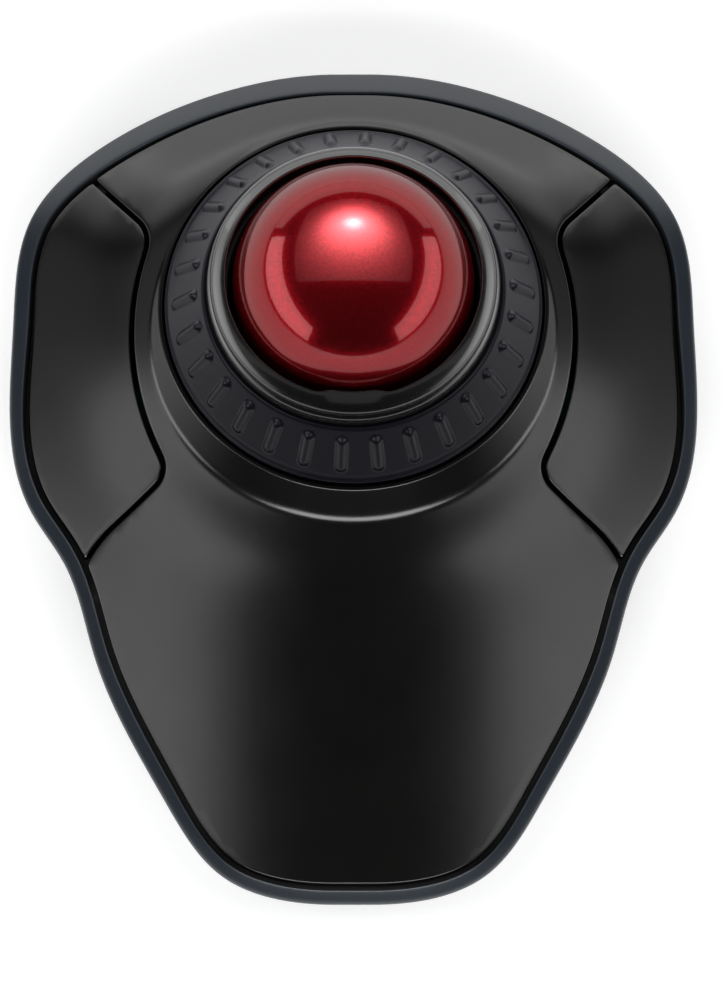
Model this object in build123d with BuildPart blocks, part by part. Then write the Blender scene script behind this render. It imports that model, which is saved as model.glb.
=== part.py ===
"""Trackball mouse with a scroll ring round the ball: 117 x 143 x 58 mm.

Origin on the desk, under the middle of the outline. +X is the user's right, +Y points away
from the user and +Z is up. The ball and the scroll ring share one upright axis.
"""
from build123d import *
from math import cos, exp, hypot, radians, sin, sqrt, tan, atan
import os

os.makedirs("parts", exist_ok=True)

# ---- driving dimensions, mm ----
AXIS_Y = 26.3                     # upright axis of the ball and the ring
BALL_R, BALL_Z = 20.0, 38.0
FRONT_Y, BACK_Y = -71.6, 71.5     # ends of the outline
RIM_FRONT, RIM_BACK = 11.5, 23.0  # height of the widest line at the two ends
BASE_Z, FLOOR_Z = 1.0, 3.0        # underside and inner floor of the bottom case
BASE_INSET = 8.0
GAP = 0.8                         # seam round each button
GROOVE = 0.9                      # dark groove between the case and the shell
SHELL_T = 1.8
LEDGE_RISE = 0.4                  # ledge that carries the shell, above the rim line
BAND_RISE = 2.4                   # top of the case above the rim line

RING_R, RING_Z = 31.6, 29.3       # outer edge of the ring
RING_IN_R, RING_TOP_Z = 24.8, 37.7
RIBS, RIB_L, RIB_W, RIB_H, RIB_PHASE = 30, 6.0, 1.4, 0.5, 2.0
WELL_R, LIP_R = 32.1, 32.8        # bore and lip of the shell's housing
SKIRT_IN, SKIRT_OUT, SKIRT_BOTTOM = 28.7, 29.9, 21.2
SLOTS = 36
GUIDE_IN, GUIDE_OUT = 26.6, 28.6
CUP_IN, CUP_OUT = 20.9, 22.4
DECK_BOTTOM, DECK_TOP, DECK_R = 18.6, 20.4, 31.5
BEARING_R, BEARING_DROP, BEARING_GAP = 1.25, 35.0, 0.02
SENSOR_TILT = 50.0
SENSOR_PITCH = 7.5                # screw lugs either side of the lens
COLLAR_R, COLLAR_TOP = 20.8, 44.3

HINGE_Y, HINGE_Z, PIN_R = 47.0, 19.5, 1.2
PIN_START, PIN_L, PIN_PLAY = 42.2, 7.0, 0.08    # pins run outward from PIN_START
SWITCH_X, SWITCH_Y = 44.0, 10.0
PLUNGER_TOP = 18.9
BOARD_Z, BOARD_T = 10.0, 1.6
CELL_R, CELL_L, CELL_Z = 7.25, 49.0, 9.9
CELLS_Y = (-22.1, -6.9)
TROUGH_R = 7.4
DOOR_FRONT, DOOR_BACK, DOOR_X, DOOR_T = -31.0, 1.0, 27.0, 1.4
FINGER_R, DUCT_R = 7.0, 8.2
RECEIVER_Y = -46.0
RECEIVER = (14.5, 19.0, 6.5)
CASE_SCREWS = [(x * side, y) for x, y in ((20, -51), (33.5, -23), (23.5, 55.2)) for side in (-1, 1)]
SPLIT_Z = 9.0                     # where the case's bosses meet the shell's
BOARD_SCREWS = [(x, y) for x in (-24, 24) for y in (6, 49)]
DECK_POSTS_R = 22.0
CONTROLS_Y = 50.0                 # row of small controls on the underside
POWER_X, MODE_X = -12.0, 12.0
DPI_Y = 58.0

BOARD_TOP = BOARD_Z + BOARD_T
RIM_SLOPE = (RIM_BACK - RIM_FRONT) / (BACK_Y - FRONT_Y)
RIM_MIDDLE = RIM_FRONT - RIM_SLOPE * FRONT_Y
AXIS = Axis((0, AXIS_Y, 0), (0, 0, 1))
PROFILE = Plane.XZ.offset(-AXIS_Y)   # upright plane through the ring's axis
SIDE = Plane.YZ                      # upright plane along the device

# Right half of the outline seen from above, back to front
OUTLINE = [(3, BACK_Y), (23.2, 68.1), (41.1, 59.8), (55.5, 45.2), (58.1, 26.1), (54.0, -6.7),
           (48.5, -15.1), (43.2, -30.6), (31.1, -54.8), (21.6, -67.1), (3, FRONT_Y)]
# Inner edge of the right button: rear seam, arc round the ring, corner, front seam
BUTTON_EDGE = [(52.5, 59.8), (34.1, 39.4), (37.7, 27.7), (36.5, 10.5), (30.8, -1.6), (43.7, -12.9),
               (47.5, -22.2)]
BUTTON_RADII = [6.3, 45.3, 45.3, 3.9, 21.0]


def smooth(t):
    t = min(max(t, 0.0), 1.0)
    return t * t * (3 - 2 * t)


def crown(x, y):
    """Height of the finished top surface: a ridge line, falling to the sides, raised round the ring."""
    s = y - 44.5
    ridge = 29.2 - (0.07 * s + sqrt((0.23 * s) ** 2 + 3.5 ** 2) - 3.5)
    swell = 2.4 * exp(-((max(hypot(x, y - AXIS_Y) - 32.0, 0.0) / 11.0) ** 2))
    return ridge - 0.0022 * x * x + swell


def rim(y):
    """Height of the widest line of the case."""
    return RIM_MIDDLE + RIM_SLOPE * y


def band(y):
    """Width of the case's visible top edge: narrow in front, wide behind."""
    return 2.4 + 1.8 * smooth((y - 35) / 36) - 0.4 * smooth((-40 - y) / 31)


def rim_plane(share, rise=0.0):
    """Plane between the flat underside (share 0) and the sloping rim line (share 1)."""
    height = BASE_Z + share * (RIM_MIDDLE - BASE_Z) + rise
    slope = share * RIM_SLOPE
    return Plane(origin=(0, 0, height), x_dir=(1, 0, 0), z_dir=(0, -slope, 1))


RIGHT_EDGE = Spline(*OUTLINE, tangents=((1, 0), (-1, 0)))


def inner_outline(plane, inset, bands=0.0, stations=20):
    """Face inside the outline, moved inwards by inset plus bands widths of the top edge."""
    lean = hypot(1, plane.z_dir.Y / plane.z_dir.Z)
    points = []
    for i in range(stations + 1):
        point, along = RIGHT_EDGE @ (i / stations), RIGHT_EDGE % (i / stations)
        move = inset + bands * band(point.Y)
        points.append((point.X + along.Y * move, (point.Y - along.X * move) * lean))
    with BuildSketch(plane) as sketch:
        with BuildLine():
            Spline(*points, tangents=((1, 0), (-1, 0)))
            mirror(about=Plane.YZ)
            for x, y in (points[0], points[-1]):
                Line((x, y), (-x, y))
        make_face()
    return sketch.sketch


def crown_face(drop):
    """The top surface as one face, lowered by drop."""
    xs = [-63 + 4.5 * i for i in range(29)]
    ys = [-76.5 + 4.5 * i for i in range(35)]
    return Face.make_surface_from_array_of_points(
        [[Vector(x, y, crown(x, y) - drop) for y in ys] for x in xs])


def button_region(side, grow):
    """Sketch of one button's area seen from above, wider than the seam's middle by grow."""
    corners = [(x * side, y) for x, y in BUTTON_EDGE]
    with BuildSketch() as sketch:
        with BuildLine():
            FilletPolyline(*corners, radius=BUTTON_RADII)
            Polyline(corners[-1], (75 * side, -22.2), (75 * side, 59.8), corners[0])
        make_face()
        if grow:
            offset(amount=grow, kind=Kind.INTERSECTION)
    return sketch.sketch


def ring_profile(points):
    """Half profile round the ring's axis, from (radius, height) points."""
    with BuildSketch(PROFILE) as sketch:
        with BuildLine():
            Polyline(*points, close=True)
        make_face()
    return sketch.sketch


def sensor_plane(distance):
    """Plane facing the ball's centre from below and in front, at a distance from that centre."""
    away = Vector(0, -cos(radians(SENSOR_TILT)), -sin(radians(SENSOR_TILT)))
    centre = Vector(0, AXIS_Y, BALL_Z) + away * distance
    return Plane(origin=centre, x_dir=(1, 0, 0), z_dir=away)


def save(part, name):
    part.label = name
    export_step(part, f"parts/{name}.step")


BEARINGS = [(Vector(0, AXIS_Y, BALL_Z)
             + Vector(0, 1, 0).rotate(Axis.X, -BEARING_DROP).rotate(Axis.Z, 120 * i)
             * (BALL_R + BEARING_R + BEARING_GAP)) for i in range(3)]
DECK_POSTS = [(DECK_POSTS_R * cos(radians(a)), AXIS_Y + DECK_POSTS_R * sin(radians(a)))
              for a in (45, 135, 225, 315)]
FEET = [(-39, 38), (39, 38), (-41, 0), (41, 0)]
FOOT_R, FRONT_FOOT_Y = 6.0, -57.0

# ---- bottom case: tub with the visible band, bosses, finger duct, bays and bearing posts ----
with BuildPart() as case_outside:
    loft([inner_outline(rim_plane(0), BASE_INSET),
          inner_outline(rim_plane(0.12), 6.3),
          inner_outline(rim_plane(0.4), 4.0),
          inner_outline(rim_plane(0.75), 1.3),
          inner_outline(rim_plane(1), 0),
          inner_outline(rim_plane(1, 1.0), 0, 0.15),
          inner_outline(rim_plane(1, 1.8), 0, 0.5),
          inner_outline(rim_plane(1, BAND_RISE + 0.1), 0, 1.15)], ruled=True)

with BuildPart() as case_inside:
    loft([inner_outline(Plane.XY.offset(FLOOR_Z), 9.0),
          inner_outline(rim_plane(0.4), 6.4),
          inner_outline(rim_plane(0.75), 3.5, 0.3),
          inner_outline(rim_plane(1, LEDGE_RISE), 2.0, 1)], ruled=True)

with BuildPart() as button_pockets:
    extrude(inner_outline(rim_plane(1, -2.6), 0, 1), amount=14, dir=(0, 0, 1))
    with BuildSketch() as both_regions:
        add(button_region(1, GAP / 2))
        add(button_region(-1, GAP / 2))
    extrude(both_regions.sketch, amount=60, mode=Mode.INTERSECT)

# each button hinge has a pair of ears, bored further down for the button's pins
with BuildPart() as hinge_posts:
    for side in (-1, 1):
        for inner_x in (42.0, 47.8):
            with BuildSketch(SIDE.offset(side * inner_x)):
                with BuildLine():
                    Polyline((HINGE_Y - 3, BASE_Z), (HINGE_Y + 3, BASE_Z), (HINGE_Y + 1.9, HINGE_Z + 1.8),
                             (HINGE_Y - 1.9, HINGE_Z + 1.8), close=True)
                make_face()
            extrude(amount=side * 1.6)
    add(case_outside.part, mode=Mode.INTERSECT)

with BuildPart() as bottom_case:
    add(case_outside.part)
    extrude(inner_outline(rim_plane(1, LEDGE_RISE), 0, 1), amount=12, dir=(0, 0, 1), mode=Mode.SUBTRACT)
    add(case_inside.part, mode=Mode.SUBTRACT)
    add(button_pockets.part, mode=Mode.SUBTRACT)
    # bosses and posts that stand on the floor
    with BuildSketch(Plane.XY.offset(BASE_Z)):
        with Locations(*CASE_SCREWS):
            Circle(3.4)
    extrude(amount=SPLIT_Z - BASE_Z)
    with BuildSketch(Plane.XY.offset(BASE_Z)):
        with Locations(*BOARD_SCREWS):
            Circle(2.4)
    extrude(amount=BOARD_Z - BASE_Z)
    with BuildSketch(Plane.XY.offset(BASE_Z)):
        with Locations(*DECK_POSTS):
            Circle(3.0)
    extrude(amount=DECK_BOTTOM - BASE_Z)
    with BuildSketch(Plane.XY.offset(BASE_Z)):
        with Locations((0, AXIS_Y)):
            Circle(DUCT_R)
    extrude(amount=14.4 - BASE_Z)
    # bay of the receiver
    with BuildSketch(Plane.XY.offset(BASE_Z)):
        with Locations((0, RECEIVER_Y)):
            RectangleRounded(RECEIVER[1] + 2.6, RECEIVER[0] + 2.6, 2)
    extrude(amount=8.2)
    add(hinge_posts.part)
    # room for the buttons' hinge pins, through the ears and into the wall behind them
    for side in (-1, 1):
        with BuildSketch(SIDE.offset(side * (PIN_START - 0.4))):
            with Locations((HINGE_Y, HINGE_Z)):
                Circle(PIN_R + PIN_PLAY)
        extrude(amount=side * (PIN_L + 0.8), mode=Mode.SUBTRACT)
    # openings in the floor
    with Locations((0, AXIS_Y, 0)):
        Cylinder(FINGER_R, 20, align=(Align.CENTER, Align.CENTER, Align.MIN), mode=Mode.SUBTRACT)
    with BuildSketch(Plane.XY):
        with Locations((0, (DOOR_FRONT + DOOR_BACK) / 2)):
            Rectangle(2 * DOOR_X + 0.4, DOOR_BACK - DOOR_FRONT + 1.7)
    extrude(amount=FLOOR_Z, mode=Mode.SUBTRACT)
    with BuildSketch(Plane.XY):
        with Locations((0, RECEIVER_Y)):
            RectangleRounded(RECEIVER[1] + 0.3, RECEIVER[0] + 0.3, 1)
    extrude(amount=8.0, mode=Mode.SUBTRACT)
    with BuildSketch(Plane.XY):
        with Locations(*CASE_SCREWS):
            Circle(2.7)
    extrude(amount=4.0, mode=Mode.SUBTRACT)
    with BuildSketch(Plane.XY):
        with Locations(*CASE_SCREWS):
            Circle(1.25)
    extrude(amount=SPLIT_Z, mode=Mode.SUBTRACT)
    with BuildSketch(Plane.XY.offset(BOARD_Z)):
        with Locations(*BOARD_SCREWS):
            Circle(0.9)
    extrude(amount=-5, mode=Mode.SUBTRACT)
    with BuildSketch(Plane.XY.offset(DECK_BOTTOM)):
        with Locations(*DECK_POSTS):
            Circle(1.25)
    extrude(amount=-8, mode=Mode.SUBTRACT)
    # slots of the two slide switches, hole of the small button, recesses of the feet
    with BuildSketch(Plane.XY):
        with Locations((POWER_X, CONTROLS_Y), (MODE_X, CONTROLS_Y)):
            Rectangle(8.4, 3.4)
        with Locations((0, DPI_Y)):
            Circle(3.1)
    extrude(amount=FLOOR_Z, mode=Mode.SUBTRACT)
    with BuildSketch(Plane.XY):
        with Locations(*FEET):
            Circle(FOOT_R + 0.1)
        with Locations((0, FRONT_FOOT_Y)):
            SlotOverall(26.2, 7.2)
    extrude(amount=BASE_Z + 0.4, mode=Mode.SUBTRACT)
    # holes that hold the door's pins
    with BuildSketch(SIDE.offset(-DOOR_X - 2)):
        with Locations((DOOR_FRONT, BASE_Z + DOOR_T / 2)):
            Circle(0.65)
    extrude(amount=2 * DOOR_X + 4, mode=Mode.SUBTRACT)
save(bottom_case.part, "bottom_case")

# ---- top shell: palm rest and raised round housing of the ring ----
with BuildPart() as shell_hollow:
    extrude(inner_outline(rim_plane(1, -3), GROOVE + 1.7, 1), amount=40, dir=(0, 0, 1))
    extrude(crown_face(SHELL_T), amount=70, dir=(0, 0, -1), mode=Mode.INTERSECT)

with BuildPart() as shell_blank:
    extrude(inner_outline(rim_plane(1, LEDGE_RISE), GROOVE, 1), amount=40, dir=(0, 0, 1))
    extrude(crown_face(0), amount=70, dir=(0, 0, -1), mode=Mode.INTERSECT)

with BuildPart() as shell_bosses:
    with BuildSketch(Plane.XY.offset(SPLIT_Z)):
        with Locations(*CASE_SCREWS):
            Circle(3.0)
    extrude(amount=30)
    extrude(crown_face(SHELL_T / 2), amount=70, dir=(0, 0, -1), mode=Mode.INTERSECT)

with BuildPart() as top_shell:
    add(shell_blank.part)
    add(shell_hollow.part, mode=Mode.SUBTRACT)
    add(shell_bosses.part)
    # housing of the ring
    revolve(ring_profile([(30.5, 21), (34.0, 21), (38.5, 23.2), (36.6, 25.4), (LIP_R, 29.2),
                          (LIP_R - 0.3, 29.4), (30.5, 29.4)]), axis=AXIS)
    with Locations((0, AXIS_Y, 0)):
        Cylinder(WELL_R, 80, mode=Mode.SUBTRACT)
    for side in (-1, 1):
        extrude(button_region(side, GAP / 2), amount=60, mode=Mode.SUBTRACT)
    with BuildSketch(Plane.XY):
        with Locations(*CASE_SCREWS):
            Circle(1.25)
    extrude(amount=SPLIT_Z + 4.5, mode=Mode.SUBTRACT)
save(top_shell.part, "top_shell")

# ---- the two buttons: curved plates, each with a hinge ear, pins and a switch foot ----
for side, name in ((-1, "left_button"), (1, "right_button")):
    with BuildPart() as button:
        extrude(button_region(side, -GAP / 2), amount=60)
        extrude(inner_outline(rim_plane(1, LEDGE_RISE), GROOVE, 1), amount=40, dir=(0, 0, 1),
                mode=Mode.INTERSECT)
        extrude(crown_face(0), amount=70, dir=(0, 0, -1), mode=Mode.INTERSECT)
        extrude(crown_face(1.7), amount=70, dir=(0, 0, -1), mode=Mode.SUBTRACT)
        with BuildSketch(SIDE.offset(side * 44.2)):
            with BuildLine():
                Polyline((HINGE_Y - 1.8, HINGE_Z), (HINGE_Y + 1.8, HINGE_Z),
                         (HINGE_Y + 3, 23.4), (HINGE_Y - 3, 23.4), close=True)
            make_face()
            with Locations((HINGE_Y, HINGE_Z)):
                Circle(1.8)
        extrude(amount=side * 3.0)
        with BuildSketch(SIDE.offset(side * PIN_START)):
            with Locations((HINGE_Y, HINGE_Z)):
                Circle(PIN_R)
        extrude(amount=side * PIN_L)
        with BuildSketch(Plane.XY.offset(PLUNGER_TOP + 0.15)):
            with Locations((side * SWITCH_X, SWITCH_Y)):
                Circle(1.8)
        extrude(amount=2.2)
    save(button.part, name)

# ---- scroll ring: slotted carrier and the ribbed grip moulded on it ----
with BuildPart() as scroll_ring:
    revolve(ring_profile([(23.6, 35.2), (23.6, 36.5), (24.8, 37.0), (30.3, 30.2), (30.3, 28.2),
                          (SKIRT_OUT, 27.6), (SKIRT_OUT, SKIRT_BOTTOM), (SKIRT_IN, SKIRT_BOTTOM),
                          (SKIRT_IN, 30.6), (24.9, 35.2)]), axis=AXIS)
    with Locations((0, AXIS_Y, SKIRT_BOTTOM + 2.4)):
        with PolarLocations((SKIRT_IN + SKIRT_OUT) / 2, SLOTS):
            Box(3, 2.4, 3.4, mode=Mode.SUBTRACT)
save(scroll_ring.part, "scroll_ring")

RING_SLOPE = (RING_TOP_Z - RING_Z) / (RING_R - RING_IN_R)
RIB_R = (RING_R + RING_IN_R) / 2 + 0.2
RIB_Z = RING_Z + (RING_R - RIB_R) * RING_SLOPE
RIB_PLANES = []
for i in range(RIBS):
    turn = radians(360 / RIBS * i + RIB_PHASE)
    out = Vector(cos(turn), sin(turn), 0)
    RIB_PLANES.append(Plane(origin=out * RIB_R + Vector(0, AXIS_Y, RIB_Z),
                            x_dir=out - Vector(0, 0, RING_SLOPE),
                            z_dir=out * RING_SLOPE + Vector(0, 0, 1)))

with BuildPart() as ring_grip:
    revolve(ring_profile([(24.8, 37.0), (RING_IN_R, RING_TOP_Z), (25.3, RING_TOP_Z - 0.1),
                          (RING_R - 0.4, RING_Z + 0.7), (RING_R, RING_Z), (RING_R, 28.2),
                          (30.3, 28.2), (30.3, 30.2)]), axis=AXIS)
    with BuildSketch(*RIB_PLANES):
        SlotOverall(RIB_L, RIB_W)
    extrude(amount=RIB_H)
save(ring_grip.part, "ring_grip")

# ---- ball, its collar, cup and bearings ----
with BuildPart() as ball:
    with Locations((0, AXIS_Y, BALL_Z)):
        Sphere(BALL_R)
save(ball.part, "ball")

with BuildPart() as ball_collar:
    revolve(ring_profile([(COLLAR_R, 43.6), (COLLAR_R, COLLAR_TOP), (21.3, COLLAR_TOP),
                          (21.9, 43.7), (23.7, 40.6), (24.3, 38.6), (24.3, 36.8), (23.05, 36.8),
                          (23.05, 38.0), (21.2, 38.0)]), axis=AXIS)
    with BuildSketch(Plane.XY.offset(COLLAR_TOP - 1.0)):
        with Locations((0, AXIS_Y - COLLAR_R - 0.1)):
            RectangleRounded(6.7, 1.4, 0.5)
    extrude(amount=1.0)
save(ball_collar.part, "ball_collar")

with BuildPart() as ball_cup:
    with Locations((0, AXIS_Y, BALL_Z)):
        Sphere(CUP_OUT)
    with Locations((0, AXIS_Y, BALL_Z)):
        Cylinder(40, 40, align=(Align.CENTER, Align.CENTER, Align.MIN), mode=Mode.SUBTRACT)
    revolve(ring_profile([(20, 34.0), (22.3, 34.0), (23.0, 34.8), (23.0, 38.0), (20, 38.0)]), axis=AXIS)
    # deck that carries the ring's bearing
    with Locations((0, AXIS_Y, DECK_BOTTOM)):
        Cylinder(DECK_R, DECK_TOP - DECK_BOTTOM, align=(Align.CENTER, Align.CENTER, Align.MIN))
    revolve(ring_profile([(25.4, DECK_TOP - 0.5), (GUIDE_IN, DECK_TOP - 0.5), (GUIDE_IN, 23.4),
                          (25.4, 23.4)]), axis=AXIS)
    # pockets of the support bearings
    with Locations(*BEARINGS):
        Sphere(2.6)
    # openings in the deck for the sensor and the encoder
    with Locations((0, 8.2, DECK_BOTTOM - 1)):
        Box(21, 13.2, 4, align=(Align.CENTER, Align.CENTER, Align.MIN), mode=Mode.SUBTRACT)
    with Locations((0, AXIS_Y + 30, DECK_BOTTOM - 1)):
        Box(7, 9.4, 8, align=(Align.CENTER, Align.CENTER, Align.MIN), mode=Mode.SUBTRACT)
    # sensor port and screw lugs
    with BuildSketch(sensor_plane(20.5)):
        Circle(5.6)
        with Locations((-SENSOR_PITCH, 0), (SENSOR_PITCH, 0)):
            Circle(2.0)
    extrude(amount=5.0)
    with BuildSketch(sensor_plane(20.5)):
        with Locations((-SENSOR_PITCH, 0), (SENSOR_PITCH, 0)):
            Circle(2.0)
    extrude(amount=7.4)
    with Locations((0, AXIS_Y, BALL_Z)):
        Sphere(CUP_IN, mode=Mode.SUBTRACT)
        Cylinder(CUP_IN, 10, align=(Align.CENTER, Align.CENTER, Align.MIN), mode=Mode.SUBTRACT)
    with BuildSketch(sensor_plane(19)):
        Circle(4.0)
    extrude(amount=8, mode=Mode.SUBTRACT)
    with BuildSketch(sensor_plane(28)):
        with Locations((-SENSOR_PITCH, 0), (SENSOR_PITCH, 0)):
            Circle(0.8)
    extrude(amount=-4.5, mode=Mode.SUBTRACT)
    with Locations(*BEARINGS):
        Sphere(BEARING_R, mode=Mode.SUBTRACT)
    with Locations((0, AXIS_Y, 0)):
        Cylinder(6.0, 30, align=(Align.CENTER, Align.CENTER, Align.MIN), mode=Mode.SUBTRACT)
    with BuildSketch(Plane.XY.offset(DECK_BOTTOM)):
        with Locations(*DECK_POSTS):
            Circle(1.25)
    extrude(amount=4, mode=Mode.SUBTRACT)
save(ball_cup.part, "ball_cup")

with BuildPart() as support_bearings:
    with Locations(*BEARINGS):
        Sphere(BEARING_R)
save(support_bearings.part, "support_bearings")

with BuildPart() as ring_bearing:
    revolve(ring_profile([(GUIDE_IN, DECK_TOP), (GUIDE_OUT, DECK_TOP), (GUIDE_OUT, 30.4),
                          (GUIDE_IN, 32.6)]), axis=AXIS)
    with Locations((0, AXIS_Y + 28, DECK_TOP - 1)):
        Box(7.4, 6, 9, align=(Align.CENTER, Align.CENTER, Align.MIN), mode=Mode.SUBTRACT)
save(ring_bearing.part, "ring_bearing")

with BuildPart() as cup_screws:
    with BuildSketch(Plane.XY.offset(DECK_TOP)):
        with Locations(*DECK_POSTS):
            Circle(2.2)
    extrude(amount=1.4)
    with BuildSketch(Plane.XY.offset(DECK_TOP)):
        with Locations(*DECK_POSTS):
            Circle(1.25)
    extrude(amount=-8)
    with BuildSketch(Plane.XY.offset(DECK_TOP + 1.4)):
        with Locations(*DECK_POSTS):
            Rectangle(2.6, 0.5)
            Rectangle(0.5, 2.6)
    extrude(amount=-0.8, mode=Mode.SUBTRACT)
save(cup_screws.part, "cup_screws")

# ---- optical sensor looking at the ball ----
with BuildPart() as sensor_lens:
    with BuildSketch(sensor_plane(21.6)):
        Circle(3.95)
    extrude(amount=3.9)
    with BuildSketch(sensor_plane(25.5)):
        Rectangle(11, 9)
    extrude(amount=0.6)
    fillet(sensor_lens.edges().filter_by(GeomType.CIRCLE).sort_by(Axis.Z)[-1], 0.8)
save(sensor_lens.part, "sensor_lens")

with BuildPart() as optical_sensor:
    with BuildSketch(sensor_plane(26.1)):
        Rectangle(10.6, 8.6)
    extrude(amount=1.8)
save(optical_sensor.part, "optical_sensor")

with BuildPart() as sensor_board:
    with BuildSketch(sensor_plane(27.9)):
        RectangleRounded(20, 9.4, 1)
    extrude(amount=1.2)
    with BuildSketch(sensor_plane(27.9)):
        with Locations((-SENSOR_PITCH, 0), (SENSOR_PITCH, 0)):
            Circle(0.8)
    extrude(amount=1.2, mode=Mode.SUBTRACT)
save(sensor_board.part, "sensor_board")

with BuildPart() as sensor_screws:
    with BuildSketch(sensor_plane(29.1)):
        with Locations((-SENSOR_PITCH, 0), (SENSOR_PITCH, 0)):
            Circle(1.5)
    extrude(amount=0.9)
    with BuildSketch(sensor_plane(29.1)):
        with Locations((-SENSOR_PITCH, 0), (SENSOR_PITCH, 0)):
            Circle(0.8)
    extrude(amount=-5.0)
save(sensor_screws.part, "sensor_screws")

# ---- boards, switches and encoder ----
with BuildPart() as main_board:
    with BuildSketch(Plane.XY.offset(BOARD_Z)):
        with Locations((0, 27.5)):
            RectangleRounded(58, 50, 3)
        with Locations((0, 10)):
            RectangleRounded(99, 15, 3)
        with Locations((0, 55)):
            Rectangle(20, 9)
        with Locations((0, AXIS_Y)):
            Circle(DUCT_R + 0.4, mode=Mode.SUBTRACT)
        with Locations(*DECK_POSTS):
            Circle(3.4, mode=Mode.SUBTRACT)
        with Locations(*CASE_SCREWS[4:]):
            Circle(3.8, mode=Mode.SUBTRACT)
        with Locations(*BOARD_SCREWS):
            Circle(0.9, mode=Mode.SUBTRACT)
    extrude(amount=BOARD_T)
save(main_board.part, "main_board")

with BuildPart() as board_screws:
    with BuildSketch(Plane.XY.offset(BOARD_TOP)):
        with Locations(*BOARD_SCREWS):
            Circle(1.8)
    extrude(amount=1.2)
    with BuildSketch(Plane.XY.offset(BOARD_TOP)):
        with Locations(*BOARD_SCREWS):
            Circle(0.9)
    extrude(amount=-5.5)
save(board_screws.part, "board_screws")

with BuildPart() as ring_encoder:
    with Locations((0, AXIS_Y + 29.2, BOARD_TOP)):
        Box(6, 5.2, 14.2, align=(Align.CENTER, Align.CENTER, Align.MIN))
    with Locations((0, AXIS_Y + 29.3, SKIRT_BOTTOM - 0.4)):
        Box(6, 2.2, 8, align=(Align.CENTER, Align.CENTER, Align.MIN), mode=Mode.SUBTRACT)
save(ring_encoder.part, "ring_encoder")

for side, word in ((-1, "left"), (1, "right")):
    with BuildPart() as microswitch:
        with Locations((side * SWITCH_X, SWITCH_Y, BOARD_TOP)):
            Box(10.8, 5.8, 6.5, align=(Align.CENTER, Align.CENTER, Align.MIN))
        with Locations((side * SWITCH_X, SWITCH_Y, BOARD_TOP + 4.4)):
            Box(2.7, 1.5, 3, align=(Align.CENTER, Align.CENTER, Align.MIN), mode=Mode.SUBTRACT)
    save(microswitch.part, f"{word}_microswitch")
    with BuildPart() as plunger:
        with Locations((side * SWITCH_X, SWITCH_Y, PLUNGER_TOP)):
            Box(2.5, 1.3, 2.1, align=(Align.CENTER, Align.CENTER, Align.MAX))
    save(plunger.part, f"{word}_switch_plunger")

# ---- battery tray, cells, contacts and door ----
with BuildPart() as battery_tray:
    with BuildSketch(SIDE.offset(-26.2)):
        with Locations(*[(y, CELL_Z) for y in CELLS_Y]):
            Circle(TROUGH_R + 0.75)
        with Locations((sum(CELLS_Y) / 2, 6.4)):
            Rectangle(CELLS_Y[1] - CELLS_Y[0] + 2 * TROUGH_R + 1.5, 7.0)
    extrude(amount=52.4)
    for side in (-1, 1):
        with Locations((side * 27.6, sum(CELLS_Y) / 2, FLOOR_Z - 0.1)):
            Box(3.2, 31.4, 11.5, align=(Align.CENTER, Align.CENTER, Align.MIN))
    with BuildSketch(SIDE.offset(-25.9)):
        with Locations(*[(y, CELL_Z) for y in CELLS_Y]):
            Circle(TROUGH_R)
        with Locations(*[(y, CELL_Z - 5) for y in CELLS_Y]):
            Rectangle(2 * TROUGH_R, 10)
    extrude(amount=51.8, mode=Mode.SUBTRACT)
    with BuildSketch(SIDE.offset(-40)):
        with Locations((0, 0)):
            Rectangle(120, 2 * FLOOR_Z)
    extrude(amount=80, mode=Mode.SUBTRACT)
save(battery_tray.part, "battery_tray")

with BuildPart() as battery_cells:
    for side, y in zip((-1, 1), CELLS_Y):
        with BuildSketch(SIDE.offset(-CELL_L / 2)):
            with Locations((y, CELL_Z)):
                Circle(CELL_R)
        extrude(amount=CELL_L)
        with BuildSketch(SIDE.offset(side * CELL_L / 2)):
            with Locations((y, CELL_Z)):
                Circle(2.7)
        extrude(amount=side * 1.0)
save(battery_cells.part, "battery_cells")

with BuildPart() as battery_contacts:
    for side, y in zip((-1, 1), CELLS_Y):
        with BuildSketch(SIDE.offset(side * 25.5)):
            with Locations((y, CELL_Z)):
                Rectangle(9, 8)
        extrude(amount=side * 0.4)
        with BuildSketch(Plane.XY.offset(CELL_Z - 3)):
            with BuildLine():
                FilletPolyline((-side * 25.9, y - 4.5), (-side * 25.5, y - 4.5), (-side * 24.5, y),
                               (-side * 25.5, y + 4.5), (-side * 25.9, y + 4.5), radius=0.15)
                Line((-side * 25.9, y + 4.5), (-side * 25.9, y - 4.5))
            make_face()
        extrude(amount=6)
save(battery_contacts.part, "battery_contacts")

with BuildPart() as battery_door:
    with BuildSketch(Plane.XY.offset(BASE_Z)):
        with Locations((0, (DOOR_FRONT + DOOR_BACK) / 2)):
            Rectangle(2 * DOOR_X, DOOR_BACK - DOOR_FRONT)
    extrude(amount=DOOR_T)
    with BuildSketch(SIDE.offset(-DOOR_X)):
        with Locations((DOOR_FRONT, BASE_Z + DOOR_T / 2)):
            Circle(DOOR_T / 2)
    extrude(amount=2 * DOOR_X)
    with BuildSketch(SIDE.offset(-DOOR_X - 1.4)):
        with Locations((DOOR_FRONT, BASE_Z + DOOR_T / 2)):
            Circle(0.6)
    extrude(amount=2 * DOOR_X + 2.8)
    with BuildSketch(Plane.XY.offset(BASE_Z)):
        with Locations((0, DOOR_BACK - 4)):
            SlotOverall(14, 3)
    extrude(amount=0.5, mode=Mode.SUBTRACT)
save(battery_door.part, "battery_door")

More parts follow.
